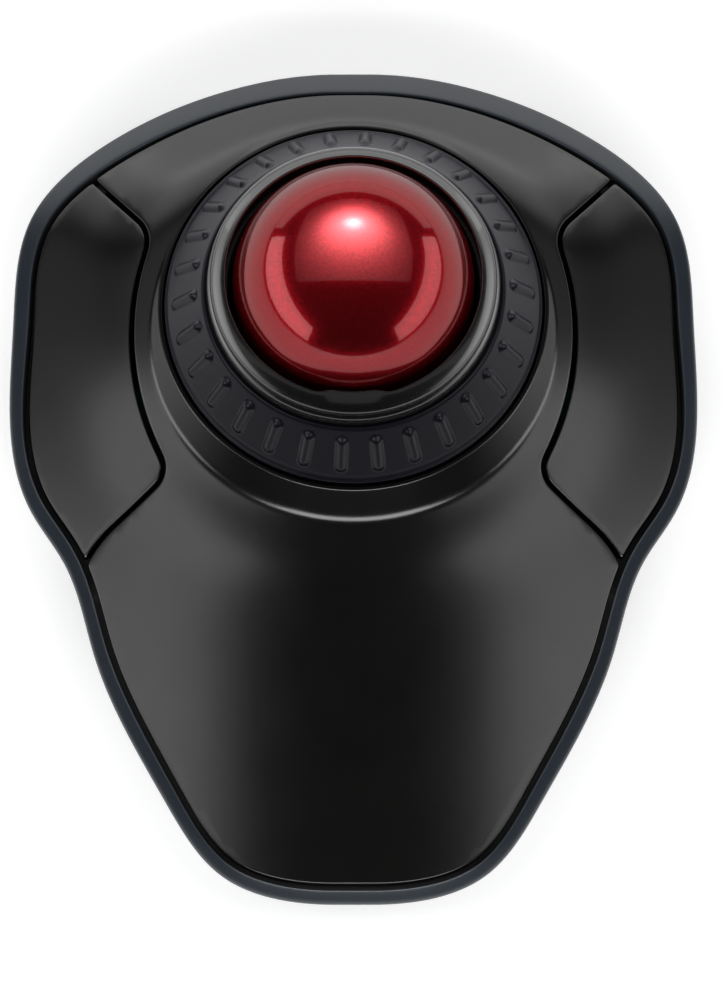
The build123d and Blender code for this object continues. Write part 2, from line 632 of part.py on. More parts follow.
# ---- receiver, feet, screws and the small controls of the underside ----
with BuildPart() as usb_receiver:
    with BuildSketch(Plane.XY.offset(BASE_Z + 0.2)):
        with Locations((3.5, RECEIVER_Y)):
            RectangleRounded(12.0, RECEIVER[0], 0.9)
    extrude(amount=RECEIVER[2])
    with BuildSketch(SIDE.offset(-2.5)):
        with Locations((RECEIVER_Y, BASE_Z + 0.2 + RECEIVER[2] / 2)):
            Rectangle(12.0, 4.5)
            Rectangle(11.4, 3.9, mode=Mode.SUBTRACT)
            with Locations((0, -0.9)):
                Rectangle(11.4, 1.8)
    extrude(amount=-7)
save(usb_receiver.part, "usb_receiver")

with BuildPart() as rubber_feet:
    with BuildSketch(Plane.XY):
        with Locations(*FEET):
            Circle(FOOT_R)
        with Locations((0, FRONT_FOOT_Y)):
            SlotOverall(26, 7)
    extrude(amount=BASE_Z + 0.4)
save(rubber_feet.part, "rubber_feet")

with BuildPart() as case_screws:
    with BuildSketch(Plane.XY.offset(4.0)):
        with Locations(*CASE_SCREWS):
            Circle(2.4)
    extrude(amount=-1.6)
    with BuildSketch(Plane.XY.offset(4.0)):
        with Locations(*CASE_SCREWS):
            Circle(1.25)
    extrude(amount=SPLIT_Z)
    with BuildSketch(Plane.XY.offset(2.4)):
        with Locations(*CASE_SCREWS):
            Rectangle(2.8, 0.5)
            Rectangle(0.5, 2.8)
    extrude(amount=0.9, mode=Mode.SUBTRACT)
save(case_screws.part, "case_screws")

for x, word in ((POWER_X, "power"), (MODE_X, "mode")):
    with BuildPart() as knob:
        with Locations((x - 1.5, CONTROLS_Y, BASE_Z + 0.3)):
            Box(4.6, 3.0, 4.2, align=(Align.CENTER, Align.CENTER, Align.MIN))
        with Locations((x - 1.5, CONTROLS_Y, BASE_Z + 0.3)):
            with GridLocations(1.2, 1, 3, 1):
                Box(0.4, 3.0, 0.6, mode=Mode.SUBTRACT)
    save(knob.part, f"{word}_switch_knob")
    with BuildPart() as switch_body:
        with Locations((x, CONTROLS_Y, FLOOR_Z + 0.2)):
            Box(13, 6, BOARD_Z - FLOOR_Z - 0.2, align=(Align.CENTER, Align.CENTER, Align.MIN))
        with Locations((x, CONTROLS_Y, FLOOR_Z)):
            Box(8.0, 3.4, 3.2, align=(Align.CENTER, Align.CENTER, Align.MIN), mode=Mode.SUBTRACT)
    save(switch_body.part, f"{word}_switch_body")

with BuildPart() as dpi_button:
    with BuildSketch(Plane.XY.offset(BASE_Z + 0.2)):
        with Locations((0, DPI_Y)):
            Circle(2.95)
    extrude(amount=2.0)
    with BuildSketch(Plane.XY.offset(FLOOR_Z + 0.2)):
        with Locations((0, DPI_Y)):
            Circle(3.6)
    extrude(amount=0.8)
    with BuildSketch(Plane.XY.offset(FLOOR_Z + 1.0)):
        with Locations((0, DPI_Y)):
            Circle(1.5)
    extrude(amount=1.6)
save(dpi_button.part, "dpi_button")

with BuildPart() as dpi_switch_body:
    with Locations((0, DPI_Y - 1.0, BOARD_Z)):
        Box(6, 5, 3.6, align=(Align.CENTER, Align.CENTER, Align.MAX))
save(dpi_switch_body.part, "dpi_switch_body")
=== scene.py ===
from math import cos, hypot, pi, radians, sin, sqrt, tan

import bmesh
import bpy
import numpy as np
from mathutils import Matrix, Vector, geometry


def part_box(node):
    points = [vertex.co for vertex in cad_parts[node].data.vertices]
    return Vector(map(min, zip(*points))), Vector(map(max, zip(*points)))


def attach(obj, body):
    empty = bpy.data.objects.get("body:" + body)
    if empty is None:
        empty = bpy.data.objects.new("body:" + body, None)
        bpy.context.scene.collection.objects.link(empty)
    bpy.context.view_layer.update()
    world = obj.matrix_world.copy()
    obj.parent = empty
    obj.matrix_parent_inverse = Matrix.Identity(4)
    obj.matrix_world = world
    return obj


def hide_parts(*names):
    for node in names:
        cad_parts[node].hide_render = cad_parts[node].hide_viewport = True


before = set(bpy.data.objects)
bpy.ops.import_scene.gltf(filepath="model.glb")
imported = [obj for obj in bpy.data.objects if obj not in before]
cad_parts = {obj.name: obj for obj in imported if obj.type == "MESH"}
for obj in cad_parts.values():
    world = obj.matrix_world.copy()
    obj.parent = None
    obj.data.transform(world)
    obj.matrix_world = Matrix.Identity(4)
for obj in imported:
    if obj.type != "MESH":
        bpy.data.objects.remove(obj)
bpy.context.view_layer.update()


MM = 0.001               # shapes below are worked out in millimetres


def box_mm(node):
    low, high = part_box(node)
    return np.array(low) / MM, np.array(high) / MM


# ---- driving sizes, from the frame ----
CASE_LOW, CASE_HIGH = box_mm("bottom_case")
BALL_LOW, BALL_HIGH = box_mm("ball")
GRIP_HIGH = box_mm("ring_grip")[1]
AXIS_Y = (BALL_LOW[1] + BALL_HIGH[1]) / 2        # common axis of ball, ring and housing
BALL_R = (BALL_HIGH[2] - BALL_LOW[2]) / 2
BALL_Z = BALL_HIGH[2] - BALL_R
BASE_Z = CASE_LOW[2]
RING_R = GRIP_HIGH[0]
FRONT_Y, BACK_Y = CASE_LOW[1], CASE_HIGH[1]

# ---- shape of the body ----
RIM_FRONT, RIM_BACK = 11.5, 23.0     # height of the widest line at the two ends
RIDGE_Y, RIDGE_Z = 44.5, 29.2        # where the top's ridge line turns down, and its height there
RIDGE_TILT, RIDGE_FALL, RIDGE_SOFT = 0.07, 0.23, 3.5
SIDE_FALL = 0.0022                   # drop from the ridge, per square of the distance
SWELL_R, SWELL_H, SWELL_RUN = 32.0, 2.4, 11.0    # the top is raised round the ring
BAND_FRONT = 2.4                     # width of the case's visible top edge
BAND_CHANGES = ((0.6, 4, 26), (1.6, 32, 34), (-0.4, -40, -31))    # (change, from Y, over)
GROOVE = 0.9                         # dark groove between case and shell
GAP = 0.8                            # seam round each button
CORNER_K = 0.5                       # rounding in plan where a seam meets the groove
EDGE_R = 0.3                         # rounding of the upper edge of shell and buttons
WELL_R = RING_R + 0.35               # hole in the housing, round the ring
WELL_K = 0.1
LIP_R, LIP_Z = RING_R + 1.1, 29.35   # flat lip of the housing
LIP_K = 0.14                         # rounding between the flat lip and the cone
CONE_K = 0.5                         # rounding at the foot of the cone
SHELL_T, BUTTON_T = 1.8, 1.9
SKIRT_T, SKIRT_RUN, SKIRT_H = 2.2, 1.2, 5.0      # thicker wall round the well
DISH_R, DISH_RUN, DISH_H = 48.5, 7.0, 0.2        # shallow finger dish in the buttons
OUTLINE = [(3, BACK_Y), (23.2, 68.1), (41.1, 59.8), (55.5, 45.2), (58.1, 26.1), (54.0, -6.7),
           (48.5, -15.1), (43.2, -30.6), (31.1, -54.8), (21.6, -67.1), (3, FRONT_Y)]
BUTTON_EDGE = [(52.5, 59.8), (34.1, 39.4), (37.7, 27.7), (36.5, 10.5), (30.8, -1.6),
               (43.7, -12.9), (47.5, -22.2)]
BUTTON_RADII = [6.3, 45.3, 45.3, 3.9, 21.0]
BEYOND_X = 80                        # past the outline


def ramp(t):
    t = np.clip(t, 0.0, 1.0)
    return t * t * (3 - 2 * t)


def crown(x, y):
    """Height of the top surface: a ridge line, falling to the sides, raised round the ring."""
    s = y - RIDGE_Y
    turned_down = np.sqrt((RIDGE_FALL * s) ** 2 + RIDGE_SOFT ** 2)
    ridge = RIDGE_Z - (RIDGE_TILT * s + turned_down - RIDGE_SOFT)
    reach = np.maximum(np.hypot(x, y - AXIS_Y) - SWELL_R, 0.0)
    return ridge - SIDE_FALL * x * x + SWELL_H * np.exp(-((reach / SWELL_RUN) ** 2))


def rim(y):
    return RIM_FRONT + (RIM_BACK - RIM_FRONT) * (y - FRONT_Y) / (BACK_Y - FRONT_Y)


def band(y):
    """Width of the case's visible top edge: narrow in front, wide behind."""
    width = BAND_FRONT
    for change, start, run in BAND_CHANGES:
        width = width + change * ramp((y - start) / run)
    return width


def clamped_spline(points, count):
    """Evenly sampled cubic spline, level in X at both ends."""
    p = np.array(points, float)
    t = np.r_[0, np.cumsum(np.hypot(*np.diff(p, axis=0).T))]
    h = np.diff(t)[:, None]
    n = len(p)
    a, b = np.zeros((n, n)), np.zeros((n, 2))
    a[0, 0] = a[-1, -1] = 1
    b[0], b[-1] = (1, 0), (-1, 0)
    for i in range(1, n - 1):
        a[i, i - 1:i + 2] = h[i, 0], 2 * (h[i - 1, 0] + h[i, 0]), h[i - 1, 0]
        b[i] = 3 * (h[i, 0] * (p[i] - p[i - 1]) / h[i - 1, 0]
                    + h[i - 1, 0] * (p[i + 1] - p[i]) / h[i, 0])
    m = np.linalg.solve(a, b)
    s = np.linspace(0, t[-1], count)
    k = np.clip(np.searchsorted(t, s, side="right") - 1, 0, n - 2)
    u = ((s - t[k]) / h[k, 0])[:, None]
    hk = h[k]
    return ((2 * u ** 3 - 3 * u ** 2 + 1) * p[k] + (u ** 3 - 2 * u ** 2 + u) * hk * m[k]
            + (3 * u ** 2 - 2 * u ** 3) * p[k + 1] + (u ** 3 - u ** 2) * hk * m[k + 1])


def outline_loop(half_count):
    """The whole outline, clockwise seen from above, with its outward normals."""
    right = clamped_spline(OUTLINE, half_count)
    loop = np.concatenate([right, right[::-1] * [-1, 1]])
    along = np.roll(loop, -1, 0) - np.roll(loop, 1, 0)
    along /= np.hypot(along[:, 0], along[:, 1])[:, None]
    return loop, np.stack([-along[:, 1], along[:, 0]], 1)


def rounded_path(corners, radii, spacing=0.5):
    """Points along straight runs joined by tangent arcs."""
    v = np.array(corners, float)
    points = [v[0]]
    for corner, before, after, radius in zip(v[1:-1], v[:-2], v[2:], radii):
        a = (before - corner) / np.hypot(*(before - corner))
        b = (after - corner) / np.hypot(*(after - corner))
        half = np.arccos(np.clip(a @ b, -1, 1)) / 2
        centre = corner + (a + b) / np.hypot(*(a + b)) * radius / sin(half)
        start, end = (corner + d * radius / tan(half) - centre for d in (a, b))
        a0, a1 = np.arctan2(start[1], start[0]), np.arctan2(end[1], end[0])
        turn = (a1 - a0 + pi) % (2 * pi) - pi
        steps = max(4, int(abs(turn) * radius / spacing))
        points += [centre + radius * np.array([cos(q), sin(q)])
                   for q in np.linspace(a0, a0 + turn, steps)]
    points.append(v[-1])
    return np.array(points)


# ---- areas seen from above, as signed distances in mm (negative inside) ----
def distance_to(path, x, y):
    """Distance of each point from a closed path."""
    sides = np.roll(path, -1, 0) - path
    best = np.full(x.shape, np.inf)
    for (ax, ay), (dx, dy), length2 in zip(path, sides, (sides ** 2).sum(1)):
        px, py = x - ax, y - ay
        t = np.clip((px * dx + py * dy) / length2, 0, 1)
        best = np.minimum(best, (px - t * dx) ** 2 + (py - t * dy) ** 2)
    return np.sqrt(best)


def inside(path, x, y):
    """Whether each point lies inside a closed path."""
    within = np.zeros(x.shape, bool)
    for (x0, y0), (x1, y1) in zip(path, np.roll(path, -1, 0)):
        crossing = (y0 > y) != (y1 > y)
        if y0 != y1:
            within ^= crossing & (x < (x1 - x0) * (y - y0) / (y1 - y0) + x0)
    return within


def signed(path, x, y):
    d = distance_to(path, x, y)
    return np.where(inside(path, x, y), -d, d)


def soft_max(a, b, k):
    """Larger of two fields with the crease rounded over k."""
    h = np.clip(0.5 + 0.5 * (a - b) / k, 0, 1)
    return b + (a - b) * h + k * h * (1 - h)


LOOP, NORMAL = outline_loop(200)
SHELL_LOOP = LOOP - NORMAL * (band(LOOP[:, 1]) + GROOVE)[:, None]
BUTTON_PATH = rounded_path(BUTTON_EDGE, BUTTON_RADII)
BUTTON_AREA = np.concatenate([BUTTON_PATH, [(BEYOND_X, BUTTON_EDGE[-1][1]),
                                            (BEYOND_X, BUTTON_EDGE[0][1])]])


def shell_area(x, y):
    """Palm shell: inside the groove, outside both button seams."""
    seam = GAP / 2 - signed(BUTTON_AREA, np.abs(x), y)
    return soft_max(signed(SHELL_LOOP, x, y), seam, CORNER_K)


def button_area(side):
    """Button cap: inside the groove and inside its seam; side is -1 left, 1 right."""
    def area(x, y):
        seam = signed(BUTTON_AREA, x * side, y) + GAP / 2
        return soft_max(signed(SHELL_LOOP, x, y), seam, CORNER_K)
    return area


# ---- mesh tools ----
def contour(field, level, low, high, step):
    """Closed loops where field equals level, by marching squares on a grid."""
    xs, ys = np.arange(low[0], high[0], step), np.arange(low[1], high[1], step)
    gx, gy = np.meshgrid(xs, ys, indexing="ij")
    f = field(gx, gy) - level
    neg = f < 0
    point, links = {}, {}      # points on the grid's edges, and each one's neighbours

    def crossing(i, j, along_x):
        a, b = f[i, j], f[i + 1, j] if along_x else f[i, j + 1]
        t = a / (a - b) * step
        return (xs[i] + t, ys[j]) if along_x else (xs[i], ys[j] + t)

    cells = np.argwhere((neg[:-1, :-1] != neg[1:, :-1]) | (neg[:-1, :-1] != neg[:-1, 1:])
                        | (neg[:-1, :-1] != neg[1:, 1:]))
    for i, j in cells:
        edges = []
        for key in ((i, j, 1), (i + 1, j, 0), (i, j + 1, 1), (i, j, 0)):
            a, b, along_x = key
            other = (a + 1, b) if along_x else (a, b + 1)
            if neg[a, b] != neg[other]:
                edges.append(key)
                if key not in point:
                    point[key] = crossing(a, b, along_x)
        for p, q in zip(edges[::2], edges[1::2]):
            links.setdefault(p, []).append(q)
            links.setdefault(q, []).append(p)
    loops = []
    while links:
        start = next(iter(links))
        loop, at, last = [start], start, None
        while True:
            nxt = [q for q in links[at] if q != last]
            last, at = at, nxt[0] if nxt else start
            if at == start:
                break
            loop.append(at)
        for key in loop:
            links.pop(key, None)
        loops.append(np.array([point[key] for key in loop]))
    return loops


def even(loop, spacing):
    """The loop sampled again at even distances."""
    closed = np.vstack([loop, loop[:1]])
    t = np.r_[0, np.cumsum(np.hypot(*np.diff(closed, axis=0).T))]
    count = max(12, int(t[-1] / spacing))
    s = np.linspace(0, t[-1], count, endpoint=False)
    return np.stack([np.interp(s, t, closed[:, 0]), np.interp(s, t, closed[:, 1])], 1)


def circle(radius, steps):
    """Plan points of a circle round the ball's axis."""
    a = np.arange(steps) * 2 * pi / steps
    return np.c_[radius * np.cos(a), AXIS_Y + radius * np.sin(a)]


def arc(centre, radius, start, end, steps):
    """Points of an arc in a plane, angles in degrees."""
    return [(centre[0] + radius * cos(radians(a)), centre[1] + radius * sin(radians(a)))
            for a in np.linspace(start, end, steps)]


def lattice_grid(low, high, step):
    """Triangular lattice of points over a rectangle."""
    rows = np.arange(low[1], high[1], step * sqrt(0.75))
    return np.array([(x + (j % 2) * step / 2, y) for j, y in enumerate(rows)
                     for x in np.arange(low[0], high[0], step)])


def in_scene(name, data):
    """New object of a mesh, light or camera, in the scene."""
    obj = bpy.data.objects.new(name, data)
    bpy.context.scene.collection.objects.link(obj)
    return obj


def to_mesh(bm, name):
    """New mesh from bm, which is freed."""
    mesh = bpy.data.meshes.new(name)
    bm.to_mesh(mesh)
    bm.free()
    return mesh


def finish_mesh(mesh, sharp):
    """Faces outward and smooth, with edges over sharp degrees kept crisp."""
    bm = bmesh.new()
    bm.from_mesh(mesh)
    bmesh.ops.recalc_face_normals(bm, faces=bm.faces)
    bm.to_mesh(mesh)
    bm.free()
    mesh.polygons.foreach_set("use_smooth", [True] * len(mesh.polygons))
    mesh.set_sharp_from_angle(angle=radians(sharp))


def new_object(name, verts, faces, material, sharp=40):
    """Finished mesh object from points in mm."""
    mesh = bpy.data.meshes.new(name)
    mesh.from_pydata([tuple(v) for v in np.asarray(verts) * MM], [],
                     [tuple(int(i) for i in f) for f in faces])
    mesh.validate()
    finish_mesh(mesh, sharp)
    mesh.materials.append(material)
    return in_scene(name, mesh)


EDGE_ANGLES = (0, 18, 36, 54, 72, 90)    # rows of points on the rounded edge
EDGE_SPACING = 0.55                      # between points along the edge
EDGE_CLEAR = 0.35                        # kept free of lattice points, past the rounding
EDGE_TOLERANCE = 0.01
CONTOUR_STEP = 0.45
CDT_INSIDE, CDT_MERGE = 1, 1e-4          # keep triangles inside the loops; merge distance


def plate(name, area, low, high, top, underside, lattice, material, rings=()):
    """Closed plate over the part of the plan where area < 0, with a rounded upper edge.

    The mesh follows the plate's edge and the extra rings; lattice fills in the rest."""
    loops = [even(loop, EDGE_SPACING) for angle in EDGE_ANGLES
             for loop in contour(area, EDGE_R * (cos(radians(angle)) - 1), low, high,
                                 CONTOUR_STEP)]
    points, edges = [], []
    for loop in loops + list(rings):
        first = len(points)
        points += list(loop)
        edges += [(first + i, first + (i + 1) % len(loop)) for i in range(len(loop))]
    field = area(lattice[:, 0], lattice[:, 1])
    points += list(lattice[field < -(EDGE_R + EDGE_CLEAR)])
    flat, _, faces, *_ = geometry.delaunay_2d_cdt([Vector(p) for p in points], edges, [],
                                                  CDT_INSIDE, CDT_MERGE)
    flat = np.array([tuple(v) for v in flat])
    tri = np.array([f for f in faces if len(f) == 3])
    middle = flat[tri].mean(1)
    tri = tri[area(middle[:, 0], middle[:, 1]) < EDGE_TOLERANCE]
    used, tri = np.unique(tri, return_inverse=True)
    flat, tri = flat[used], tri.reshape(-1, 3)
    depth = np.clip(-area(flat[:, 0], flat[:, 1]), 0, EDGE_R)
    drop = EDGE_R - np.sqrt(EDGE_R ** 2 - (EDGE_R - depth) ** 2)
    upper = top(flat[:, 0], flat[:, 1])
    lower = underside(flat[:, 0], flat[:, 1])
    n = len(flat)
    verts = np.concatenate([np.c_[flat, upper - drop], np.c_[flat, lower]])
    # an edge that only one triangle has is on the border and carries a wall
    ab = np.sort(np.concatenate([tri[:, [0, 1]], tri[:, [1, 2]], tri[:, [2, 0]]]), axis=1)
    pairs, counts = np.unique(ab, axis=0, return_counts=True)
    walls = [(a, b, b + n, a + n) for a, b in pairs[counts == 1]]
    faces = [tuple(t) for t in tri] + [tuple(t[::-1] + n) for t in tri] + walls
    return new_object(name, verts, faces, material)


def turned_faces(steps, rows):
    """Faces of a closed profile of that many rows, turned in that many steps."""
    return [(i * rows + k, (i + 1) % steps * rows + k,
             (i + 1) % steps * rows + (k + 1) % rows, i * rows + (k + 1) % rows)
            for i in range(steps) for k in range(rows)]


def turned(name, profile, material, steps, sharp, shift):
    """Closed solid round the ball's axis; shift(angle, r, z) moves the profile's points."""
    profile = np.array(profile, float)
    verts = []
    for a in np.arange(steps) * 2 * pi / steps:
        r, z = shift(a, profile[:, 0], profile[:, 1])
        verts += list(np.c_[r * cos(a), AXIS_Y + r * sin(a), z])
    return new_object(name, verts, turned_faces(steps, len(profile)), material, sharp)


# ---- materials ----
NOISE_LOW, NOISE_HIGH = 0.3, 0.7         # most of a noise's values lie between these


class Nodes:
    """Small helper round a new material's node tree."""

    def __init__(self, name):
        self.material = bpy.data.materials.new(name)
        self.material.use_nodes = True
        self.tree = self.material.node_tree
        self.shader = self.tree.nodes["Principled BSDF"]

    def add(self, kind, **values):
        """New node with input values; an underscore in a name stands for a space."""
        node = self.tree.nodes.new(kind)
        for key, value in values.items():
            node.inputs[key.replace("_", " ")].default_value = value
        return node

    def join(self, out, into):
        self.tree.links.new(out, into)

    def set(self, **values):
        for key, value in values.items():
            self.shader.inputs[key.replace("_", " ")].default_value = value

    def texture(self, kind, **values):
        """Texture in object coordinates, so that a pattern stays with its piece."""
        node = self.add(kind, **values)
        place = self.add("ShaderNodeTexCoord").outputs["Object"]
        self.join(place, node.inputs["Vector"])
        return node

    def noise(self, scale, detail, rough):
        node = self.texture("ShaderNodeTexNoise", Scale=scale, Detail=detail, Roughness=rough)
        return node.outputs["Fac"]

    def gloss(self, value, low, high):
        """Drives the roughness between low and high."""
        node = self.add("ShaderNodeMapRange", From_Min=NOISE_LOW, From_Max=NOISE_HIGH,
                        To_Min=low, To_Max=high)
        self.join(value, node.inputs["Value"])
        self.join(node.outputs["Result"], self.shader.inputs["Roughness"])

    def tint(self, value, dark, light):
        """Drives the colour between dark and light."""
        node = self.add("ShaderNodeValToRGB")
        ends = zip(node.color_ramp.elements, (NOISE_LOW, NOISE_HIGH), (dark, light))
        for element, position, colour in ends:
            element.position = position
            element.color = (*colour, 1)
        self.join(value, node.inputs["Fac"])
        self.join(node.outputs["Color"], self.shader.inputs["Base Color"])

    def bump(self, heights, distance):
        """Bumps from (height, strength) pairs, one on top of the other."""
        last = None
        for height, strength in heights:
            node = self.add("ShaderNodeBump", Strength=strength, Distance=distance)
            self.join(height, node.inputs["Height"])
            if last:
                self.join(last, node.inputs["Normal"])
            last = node.outputs["Normal"]
        self.join(last, self.shader.inputs["Normal"])


def moulded(name, dark, light, rough, grain, relief, coat=0.0, specular=0.5):
    """Moulded plastic: fine grain, faint handling variation in colour and gloss."""
    n = Nodes(name)
    n.set(Specular_IOR_Level=specular, Coat_Weight=coat, Coat_Roughness=0.25)
    n.tint(n.noise(45, 3, 0.6), dark, light)
    n.gloss(n.noise(110, 4, 0.65), rough - 0.012, rough + 0.015)
    n.bump([(n.noise(grain, 3, 0.6), relief), (n.noise(grain * 0.22, 2, 0.5), relief * 0.5)],
           distance=0.00008)
    return n.material


def glossy(name, dark, light, rough, coat=1.0):
    """Polished plastic with a faint orange peel and hair-fine wear."""
    n = Nodes(name)
    n.set(Coat_Weight=coat, Coat_Roughness=0.04)
    n.tint(n.noise(60, 3, 0.6), dark, light)
    n.gloss(n.noise(900, 4, 0.7), rough, rough + 0.06)
    n.bump([(n.noise(420, 2, 0.5), 0.05)], distance=0.00004)
    return n.material


def ball_material():
    """Deep red resin with fine pearl flake under a clear coat."""
    n = Nodes("red_ball")
    n.set(Metallic=0.85, Coat_Weight=0.6, Coat_Roughness=0.05, Coat_IOR=1.5,
          Specular_Tint=(0.2, 0.2, 0.2, 1))
    flake = n.texture("ShaderNodeTexVoronoi", Scale=5200.0)
    cell = n.add("ShaderNodeSeparateColor")      # three random values for each flake
    n.join(flake.outputs["Color"], cell.inputs["Color"])
    n.tint(cell.outputs["Red"], dark=(0.19, 0.002, 0.005), light=(0.25, 0.003, 0.008))
    n.gloss(cell.outputs["Green"], 0.18, 0.25)
    n.bump([(cell.outputs["Blue"], 0.06)], distance=0.00003)
    return n.material


def metal(name, colour, rough):
    """Bare metal, slightly uneven in colour and gloss."""
    n = Nodes(name)
    n.set(Metallic=1.0)
    n.tint(n.noise(150, 3, 0.6), tuple(c * 0.85 for c in colour), colour)
    n.gloss(n.noise(800, 4, 0.7), rough - 0.08, rough + 0.1)
    n.bump([(n.noise(1500, 3, 0.6), 0.08)], distance=0.00004)
    return n.material


def clear_plastic():
    n = Nodes("clear_lens")
    n.set(Transmission_Weight=1.0, IOR=1.49)
    n.gloss(n.noise(200, 2, 0.5), 0.02, 0.06)
    return n.material


def grey(value):
    return (value, value, value)


SHELL_BLACK = moulded("soft_touch_black", (0.0016, 0.0016, 0.0015), (0.0024, 0.0024, 0.0022),
                      rough=0.19, grain=5200, relief=0.08)
SLATE = moulded("slate_satin", (0.010, 0.015, 0.022), (0.014, 0.020, 0.028),
                rough=0.34, grain=4200, relief=0.2)
RING_SLATE = moulded("ring_slate", (0.0070, 0.0070, 0.0145), (0.0095, 0.0095, 0.0190),
                     rough=0.33, grain=4600, relief=0.12, specular=0.42)
# dark plastic of the inner parts; on the case's groove and inside it is painted shade
INNER_BLACK_AND_GROOVE_SHADE = moulded("inner_black_and_groove_shade", (0.012, 0.012, 0.013), (0.018, 0.018, 0.019),
                      rough=0.5, grain=3000, relief=0.3)
RUBBER = moulded("foot_rubber", grey(0.012), grey(0.022), rough=0.75, grain=2600, relief=0.5)
NYLON = moulded("natural_nylon", (0.62, 0.6, 0.55), (0.72, 0.7, 0.66),
                rough=0.45, grain=2500, relief=0.2)
WHITE = moulded("white_knob", (0.55, 0.55, 0.54), (0.66, 0.66, 0.65),
                rough=0.35, grain=2500, relief=0.15)
CHIP = moulded("switch_black", (0.010, 0.010, 0.011), (0.017, 0.017, 0.018),
               rough=0.38, grain=3200, relief=0.2)
BOARD = moulded("solder_mask", (0.004, 0.07, 0.028), (0.008, 0.10, 0.04),
                rough=0.3, grain=900, relief=0.3, coat=0.4)
CELL_SLEEVE = glossy("cell_sleeve", (0.10, 0.10, 0.11), (0.16, 0.16, 0.17),
                     rough=0.25, coat=0.6)
COLLAR = glossy("gloss_black", grey(0.006), grey(0.009), rough=0.22, coat=0.6)
CERAMIC = glossy("bearing_ceramic", (0.7, 0.7, 0.68), (0.8, 0.8, 0.78), rough=0.15)
STEEL = metal("zinc_steel", (0.55, 0.55, 0.57), rough=0.35)
NICKEL = metal("nickel_spring", (0.75, 0.73, 0.68), rough=0.25)
RED = ball_material()
LENS = clear_plastic()

NODE_MATERIALS = (
    (INNER_BLACK_AND_GROOVE_SHADE, ("ball_cup", "battery_tray", "usb_receiver", "dpi_button", "scroll_ring")),
    (CHIP, ("optical_sensor", "ring_encoder", "left_microswitch", "right_microswitch",
            "power_switch_body", "mode_switch_body", "dpi_switch_body")),
    (WHITE, ("left_switch_plunger", "right_switch_plunger", "power_switch_knob",
             "mode_switch_knob")),
    (STEEL, ("cup_screws", "sensor_screws", "board_screws", "case_screws")),
    (BOARD, ("sensor_board", "main_board")),
    (CERAMIC, ("support_bearings",)),
    (NYLON, ("ring_bearing",)),
    (LENS, ("sensor_lens",)),
    (CELL_SLEEVE, ("battery_cells",)),
    (NICKEL, ("battery_contacts",)),
    (SLATE, ("battery_door",)),
    (RUBBER, ("rubber_feet",)),
)
for material, nodes in NODE_MATERIALS:
    for node in nodes:
        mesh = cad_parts[node].data
        mesh.materials.clear()
        mesh.materials.append(material)


# ---- palm shell and buttons ----
def shell_top(x, y):
    """The crown, blended with the cone of the housing and its rounded lip."""
    r = np.hypot(x, y - AXIS_Y)
    cone = LIP_Z - soft_max(r - LIP_R, np.zeros_like(r), LIP_K)
    return soft_max(crown(x, y), cone, CONE_K)


def shell_underside(x, y):
    skirt = ramp((WELL_R + SKIRT_T - np.hypot(x, y - AXIS_Y)) / SKIRT_RUN)
    return shell_top(x, y) - SHELL_T - SKIRT_H * skirt


def well_and_shell(x, y):
    return soft_max(shell_area(x, y), WELL_R - np.hypot(x, y - AXIS_Y), WELL_K)


# rings of mesh points on the cone and round its foot, out from the lip:
# from, to, step from ring to ring, spacing along a ring
CONE_RINGS = ((0.4, 5.5, 0.2, 0.7), (6, 9, 0.7, 1.0))
PLAIN_FROM, PLAIN_STEP = 9.6, 1.35


def shell_lattice():
    """Rings of points round the housing, a triangular lattice elsewhere."""
    points = [circle(r, int(2 * pi * r / spacing)) for start, end, step, spacing in CONE_RINGS
              for r in np.arange(LIP_R + start, LIP_R + end, step)]
    grid = lattice_grid((-60, -72), (60, 72), PLAIN_STEP)
    points.append(grid[np.hypot(grid[:, 0], grid[:, 1] - AXIS_Y) > LIP_R + PLAIN_FROM])
    return np.concatenate(points)


# mesh rings that follow the lip's rounding
LIP_RINGS = [circle(LIP_R + k * LIP_K, 400) for k in np.linspace(-1, 1, 7)]
palm_shell = plate("palm_shell", well_and_shell, (-60, -73), (60, 73), shell_top,
                   shell_underside, shell_lattice(), SHELL_BLACK, LIP_RINGS)
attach(palm_shell, "case")
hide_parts("top_shell")


def button_top(x, y):
    """The crown with a shallow finger dish that runs round the ring."""
    away = np.hypot(x, y - AXIS_Y) - DISH_R
    return crown(x, y) - DISH_H * np.exp(-((away / DISH_RUN) ** 2))


def button_underside(x, y):
    return crown(x, y) - BUTTON_T


BUTTON_X, BUTTON_Y, BUTTON_STEP = (30, 60), (-24, 62), 0.9

for side, word in ((-1, "left"), (1, "right")):
    low, high = zip(sorted(x * side for x in BUTTON_X), BUTTON_Y)
    cap = plate(f"{word}_button_cap", button_area(side), low, high, button_top,
                button_underside, lattice_grid(low, high, BUTTON_STEP), SHELL_BLACK)
    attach(cap, f"{word}_button")
    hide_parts(f"{word}_button")


# ---- bottom case ----
# visible edge of the case: share of its width, rise over the widest line
CHAMFER = [(0, 0), (0.012, 0.28), (0.04, 0.56), (0.09, 0.82), (0.16, 1.03), (0.26, 1.24),
           (0.5, 1.68), (0.74, 2.08), (0.86, 2.26), (0.92, 2.33), (0.96, 2.34), (0.985, 2.27),
           (1, 2.1)]
